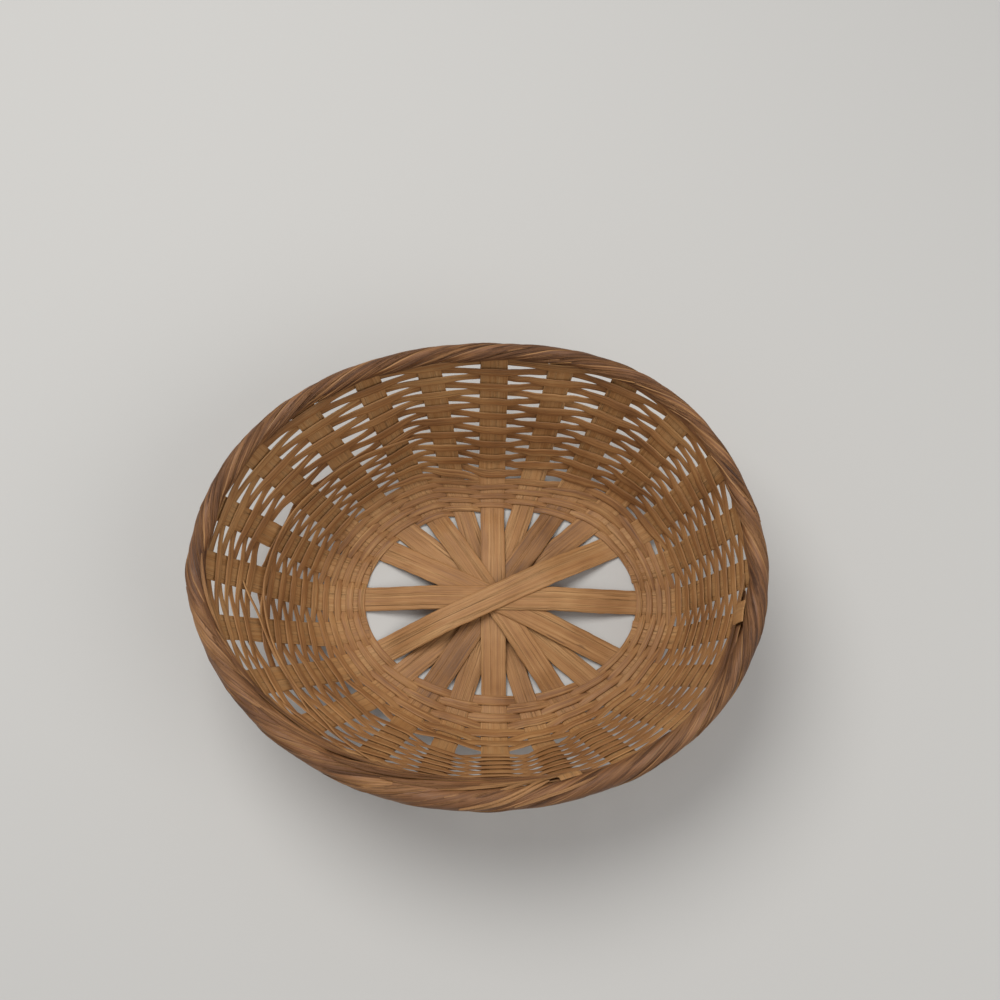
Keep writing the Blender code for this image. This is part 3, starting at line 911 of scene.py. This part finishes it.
def makeRimStrand(arm, picker):
    middle = arm + rim["abreast"] / 2
    torn, share = roundBowl(rim["tornShares"], middle), roundBowl(rim["ropeShares"], middle)
    tone = picker.uniform(*rim["tones"]) - rim["tornTone"] * torn + roundBowl(rim["rimTones"], middle)
    name = "rimStrand%02d" % (arm + 1)
    start, end = rim["strandStart"], rim["strandEnd"]
    body = strandLine(arm, 0, -rim["tornDip"] * torn, start, end, arm + 1, tone, rim["laneShare"] * share)
    # the leading edge stands up over the strand before it
    for number, facing in enumerate(body.facings):
        ahead = body.points[min(number + 1, len(body.points) - 1)] - body.points[max(number - 1, 0)]
        raised = facing.cross(ahead.normalized()) * rim["leadingEdge"]
        body.facings[number] = (facing + raised).normalized()
    pieces = [makeRibbons(name, [body], rim["ribbon"], rimWood)]

    few, more = rim["splits"]
    count = few + round(more * torn)
    spread, shift, tones = rim["splitSpread"], rim["splitShift"], rim["splitTones"]
    perArm, seedStart = rim["splitSeeds"]
    splits = []
    for number in range(count):
        place = (number + 0.5) / count * spread - spread / 2 + picker.uniform(-shift, shift)
        width = rim["ribbon"]["Width"] * share / count / rim["split"]["Width"]
        width *= picker.uniform(*rim["splitWidths"])
        first = start + picker.uniform(0, rim["splitEnds"])
        last = end - picker.uniform(0, rim["splitEnds"])
        splits.append(strandLine(arm, place, picker.uniform(*rim["splitLifts"]), first, last,
                                 arm * perArm + number + seedStart, tone + picker.uniform(-tones, tones),
                                 width, rim["splitSwerve"]))
    pieces.append(makeRibbons(name + "Splits", splits, rim["split"], rimWood))

    few, more = rim["fibres"]
    perArm, seedStart = rim["fibreSeeds"]
    fibres = []
    for number in range(int(few + more * torn)):
        place = picker.uniform(-rim["fibrePlaces"], rim["fibrePlaces"])
        first = picker.uniform(*rim["fibreStarts"])
        last = min(rim["fibreEnd"], first + picker.uniform(*rim["fibreLengths"]))
        fibres.append(strandLine(arm, place, picker.uniform(*rim["fibreLifts"]), first, last,
                                 arm * perArm + number + seedStart,
                                 tone + picker.uniform(*rim["fibreTones"]),
                                 picker.uniform(*rim["fibreWidths"]), rim["fibreSwerve"]))
    pieces.append(makeRibbons(name + "Fibres", fibres, rim["fibre"], rimWood))
    standFor(joined(pieces), "rim_strand_%02d" % (arm + 1))


def makeRim():
    picker = random.Random(rim["randomSeed"])
    for arm in range(armCount):
        makeRimStrand(arm, picker)
    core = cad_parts["rim_core"]
    core.data.materials.clear()
    core.data.materials.append(coreWood)


# strips and strands laid one by one, each through places of (arm count, reach, how far inside the wall)
laid = {
    "stepsPerPlace": 8,
    "pointShare": 0.35,
    "widthWander": (0.08, 1, 0),
    "topMargins": {"broad": 0.00163, "narrow": 0.0006, "cut": 0.00213},
    # near the rope's top a strand turns to lie flat
    "flatFrom": 0.100,
    "flatOver": 0.009,
    "flatTurn": 2,
    "randomSeed": 8,
    "splitsEach": 4,
    "splitShift": 0.35,
    "splitRises": (-0.0045, 0.0035),
    "splitLifts": (0.0005, 0.0012),
    "splitTones": (-0.3, 0.4),
    "splitWidths": (0.5, 1.1),
    "seeds": {"hanging": 500, "golden": 520, "loose": 540, "cut": 560, "split": 600},
    "tones": {"golden": 0.55, "loose": 0.15, "cut": 0.30},
    "broad": {"Width": 0.0066, "Thickness": 0.0006, "Curl Radius": 0.012, "Ridges": 0.0002,
              "Sway": 0.0004, "Points Around": 18, "Seed": 210.0},
    "narrow": {"Width": 0.0017, "Thickness": 0.0006, "Curl Radius": 0.010, "Ridges": 0.0001,
               "Sway": 0.0003, "Points Around": 10, "Seed": 240.0},
    "cut": {"Width": 0.0112, "Thickness": 0.0008, "Curl Radius": 0.060, "Ridges": 0.0002,
            "Sway": 0.0002, "Points Around": 22, "Seed": 260.0},
    # the tone and the way of the rope's broad strands that hang down over the inside of the wall
    "hangingStrands": [
        (0.14, [(12.9, 0.11, 0.004), (13.5, 0.1075, 0.005), (14.1, 0.102, 0.0042), (14.8, 0.0975, 0.003),
          (15.5, 0.096, 0.0024), (16.2, 0.0975, 0.0018)]),
        (0.1, [(14.4, 0.11, 0.0042), (15.0, 0.108, 0.0052), (15.7, 0.102, 0.0046), (16.4, 0.0965, 0.0034),
          (17.1, 0.094, 0.0026), (17.8, 0.095, 0.002)]),
        (0.04, [(15.7, 0.11, 0.0042), (16.3, 0.107, 0.0054), (16.9, 0.101, 0.005), (17.5, 0.095, 0.004),
          (18.2, 0.0925, 0.003), (18.8, 0.095, 0.0022)]),
        (0.1, [(16.6, 0.11, 0.0042), (17.2, 0.1085, 0.0056), (17.8, 0.104, 0.0054),
          (18.4, 0.0995, 0.0044), (19.0, 0.0985, 0.0032), (19.6, 0.1015, 0.0022)]),
        (-0.02, [(21.2, 0.11, 0.004), (21.8, 0.108, 0.0054), (22.4, 0.103, 0.005), (23.0, 0.099, 0.0036),
          (23.6, 0.099, 0.0024)]),
    ],
    # thin light strands beside them, three of them over the rope, and two at the other side
    "goldenStrands": [
        [(14.9, 0.106, 0.0056), (15.6, 0.099, 0.005), (16.3, 0.093, 0.0038), (17.0, 0.0895, 0.003),
         (17.8, 0.088, 0.0028), (18.5, 0.0895, 0.0028), (19.2, 0.096, 0.0026), (19.6, 0.101, 0.0022)],
        [(15.9, 0.1085, 0.0056), (16.5, 0.104, 0.0058), (17.1, 0.0975, 0.005), (17.7, 0.0915, 0.004),
         (18.3, 0.089, 0.0034)],
        [(16.8, 0.109, 0.0054), (17.5, 0.1065, 0.006), (18.2, 0.102, 0.0054), (18.9, 0.0965, 0.0038)],
        [(18.0, 0.1095, 0.0046), (18.3, 0.1075, 0.006), (18.7, 0.1015, 0.005), (19.1, 0.0955, 0.0034)],
        [(17.2, 0.1095, 0.0048), (17.8, 0.108, 0.0062), (18.4, 0.1045, 0.006), (19.0, 0.1, 0.0044)],
        [(17.5, 0.113, -0.0026), (17.9, 0.1139, 0.0006), (18.3, 0.1116, 0.0044), (18.55, 0.108, 0.0062),
         (18.7, 0.1045, 0.0058)],
        [(17.7, 0.1134, -0.0022), (18.1, 0.1139, 0.001), (18.45, 0.1115, 0.0046),
         (18.72, 0.1082, 0.0062)],
        [(18.2, 0.1134, -0.002), (18.6, 0.1139, 0.001), (19.0, 0.1134, 0.0026), (19.4, 0.1122, 0.0042)],
        [(13.3, 0.109, 0.0048), (13.9, 0.105, 0.0054), (14.6, 0.0965, 0.0038), (15.2, 0.093, 0.0028)],
        [(11.9, 0.1095, 0.0046), (12.4, 0.1085, 0.0056), (12.9, 0.1055, 0.0054), (13.5, 0.1, 0.0036)],
        [(22.9, 0.0905, 0.0022), (23.2, 0.096, 0.004), (23.5, 0.1, 0.005), (23.9, 0.103, 0.005)],
        [(22.9, 0.0925, 0.0024), (23.2, 0.0985, 0.0044), (23.5, 0.102, 0.0054), (23.9, 0.1045, 0.0052)],
    ],
    # three thin strands run loose over the wall at the parting
    "looseStrands": [
        [(7.6, 0.0552, 0.0012), (8, 0.056, 0.0024), (9, 0.059, 0.0026), (10, 0.06, 0.0026),
         (11, 0.061, 0.0026), (12, 0.064, 0.0026), (12.6, 0.069, 0.0026), (13.0, 0.07, 0.0026),
         (14.0, 0.071, 0.0026), (15.0, 0.075, 0.0026), (15.5, 0.0815, 0.0024), (16.6, 0.092, 0.0012)],
        [(9.3, 0.0582, 0.0012), (9.6, 0.059, 0.003), (10.3, 0.062, 0.0032), (11.5, 0.064, 0.0032),
         (12.1, 0.066, 0.0032), (12.9, 0.0672, 0.0032), (14.0, 0.07, 0.0032), (15.2, 0.0722, 0.0012)],
        [(12.1, 0.079, 0.0012), (12.4, 0.0765, 0.003), (12.8, 0.0722, 0.0034), (13.5, 0.0708, 0.0034),
         (14.2, 0.0722, 0.003), (14.8, 0.076, 0.0012)],
    ],
    # ends of uprights, cut off above the weave and light in colour
    "cutEnds": [
        [(19.02, 0.1015, 0.0052), (19.03, 0.105, 0.0062), (19.04, 0.1082, 0.0058)],
        [(23.08, 0.097, 0.0048), (23.1, 0.1025, 0.006), (23.12, 0.1078, 0.0062)],
    ],
}


# a smooth curve through the places
def curveThrough(places, steps):
    padded = [places[0]] + places + [places[-1]]
    spots = []
    for before, start, end, after in zip(padded, padded[1:], padded[2:], padded[3:]):
        for step in range(steps):
            share = step / steps
            spots.append([0.5 * (2 * b + (c - a) * share + (2 * a - 5 * b + 4 * c - d) * share ** 2
                                 + (3 * b - a - 3 * c + d) * share ** 3)
                          for a, b, c, d in zip(before, start, end, after)])
    spots.append(list(places[-1]))
    return spots


def laidLine(size, places, seed, tone, widthShare=1.0):
    line = Line(seed, tone)
    spots = curveThrough(places, laid["stepsPerPlace"])
    for number, (count, reach, inside) in enumerate(spots):
        point, normal, angle = armPlace(count, reach)
        point = point + normal * inside
        point.z = min(point.z, basket["height"] - laid["topMargins"][size])
        width, facing = widthShare, normal
        if size != "cut":
            fromEnd = min(number, len(spots) - 1 - number) / laid["stepsPerPlace"]
            width = widthShare * min(1, laid["pointShare"] + fromEnd)
            flat = smoothStep((reach - laid["flatFrom"]) / laid["flatOver"])
            facing = normal + Vector((0, 0, laid["flatTurn"] * flat))
        line.add(point, facing.normalized(), width * (1 + styled(laid["widthWander"], count, seed)))
    return line


# thin strands that have come away from a broad one and run beside it
def splitsBeside(places, picker):
    beside = []
    for number in range(laid["splitsEach"]):
        shift = picker.uniform(-laid["splitShift"], laid["splitShift"])
        rise, lift = picker.uniform(*laid["splitRises"]), picker.uniform(*laid["splitLifts"])
        beside.append([(count + shift, reach + rise * place / len(places), inside + lift)
                       for place, (count, reach, inside) in enumerate(places)])
    return beside


def makeLaid():
    picker = random.Random(laid["randomSeed"])
    seeds, tones = laid["seeds"], laid["tones"]

    def laidLines(size, table, kind):
        return [laidLine(size, places, number + seeds[kind], tones[kind])
                for number, places in enumerate(table)]

    broad = [laidLine("broad", places, number + seeds["hanging"], tone)
             for number, (tone, places) in enumerate(laid["hangingStrands"])]
    golden = laidLines("narrow", laid["goldenStrands"], "golden")
    for tone, places in laid["hangingStrands"]:
        for beside in splitsBeside(places, picker):
            golden.append(laidLine("narrow", beside, len(golden) + seeds["split"],
                                   tone + picker.uniform(*laid["splitTones"]),
                                   picker.uniform(*laid["splitWidths"])))
    loose = laidLines("narrow", laid["looseStrands"], "loose")
    ends = laidLines("cut", laid["cutEnds"], "cut")
    for name, pieces in (("hangingStrands", [makeRibbons("broadParts", broad, laid["broad"], rimWood),
                                             makeRibbons("goldenParts", golden, laid["narrow"], rimWood)]),
                         ("looseStrands", [makeRibbons("looseParts", loose, laid["narrow"], stripWood)]),
                         ("cutUprightEnds", [makeRibbons("cutParts", ends, laid["cut"], splintWood)])):
        piece = joined(pieces) if len(pieces) > 1 else pieces[0]
        piece.name = name
        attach(piece, "root")


# the camera and the studio
view = {
    "place": (-0.0053, -0.1531, 0.7041),
    "ahead": (0.024, 0.285, -0.958),
    "up": (-0.005, 0.958, 0.285),
    "focalShare": 1.355,
    "sensor": 36.0,
    "nearest": 0.01,
}
stage = {
    "floorColour": (0.55, 0.545, 0.53),
    "floorRoughness": 0.9,
    "floorSize": 6.0,
    "worldColour": (0.90, 0.91, 0.93),
    "worldLevel": 0.45,
    # each lamp's place, size, power and colour
    "lamps": [((-0.40, 0.45, 1.25), 0.9, 12.5, (1.0, 0.98, 0.95)),
              ((0.75, -0.45, 1.0), 0.9, 4.2, (1.0, 0.97, 0.93))],
    "lampsLookAt": (0, 0, 0.03),
}


def makeCamera():
    camera = bpy.data.cameras.new("camera")
    camera.sensor_width = view["sensor"]
    camera.lens = view["sensor"] * view["focalShare"]
    camera.clip_start = view["nearest"]
    holder = newObject("camera", camera)
    ahead = Vector(view["ahead"]).normalized()
    right = ahead.cross(Vector(view["up"])).normalized()
    turned = Matrix((right, right.cross(ahead), -ahead)).transposed().to_4x4()
    holder.matrix_world = Matrix.Translation(view["place"]) @ turned
    bpy.context.scene.camera = holder


def makeStage():
    half = stage["floorSize"] / 2
    mesh = bpy.data.meshes.new("floor")
    mesh.from_pydata([(-half, -half, 0), (half, -half, 0), (half, half, 0), (-half, half, 0)], [],
                     [(0, 1, 2, 3)])
    material, graph, shader = newMaterial("floorPaper")
    shader.inputs["Base Color"].default_value = (*stage["floorColour"], 1)
    shader.inputs["Roughness"].default_value = stage["floorRoughness"]
    mesh.materials.append(material)
    floor = newObject("floor", mesh)

    world = bpy.data.worlds.new("studio")
    world.use_nodes = True
    backdrop = world.node_tree.nodes["Background"]
    backdrop.inputs["Color"].default_value = (*stage["worldColour"], 1)
    backdrop.inputs["Strength"].default_value = stage["worldLevel"]
    bpy.context.scene.world = world
    for number, (place, size, power, colour) in enumerate(stage["lamps"]):
        lamp = bpy.data.lights.new("softLamp%d" % number, "AREA")
        lamp.shape = "DISK"
        lamp.size = size
        lamp.energy = power
        lamp.color = colour
        holder = newObject("softLamp%d" % number, lamp)
        holder.location = place
        ahead = Vector(stage["lampsLookAt"]) - Vector(place)
        holder.rotation_euler = ahead.to_track_quat("-Z", "Y").to_euler()
    bpy.context.scene.view_settings.view_transform = "Standard"


makeCamera()
makeStage()
print("stage set")
makeSplints()
print("splints and stakes woven")
makeWeave()
print("strips woven")
makeRim()
print("rim laid")
makeLaid()
print("loose strands laid")
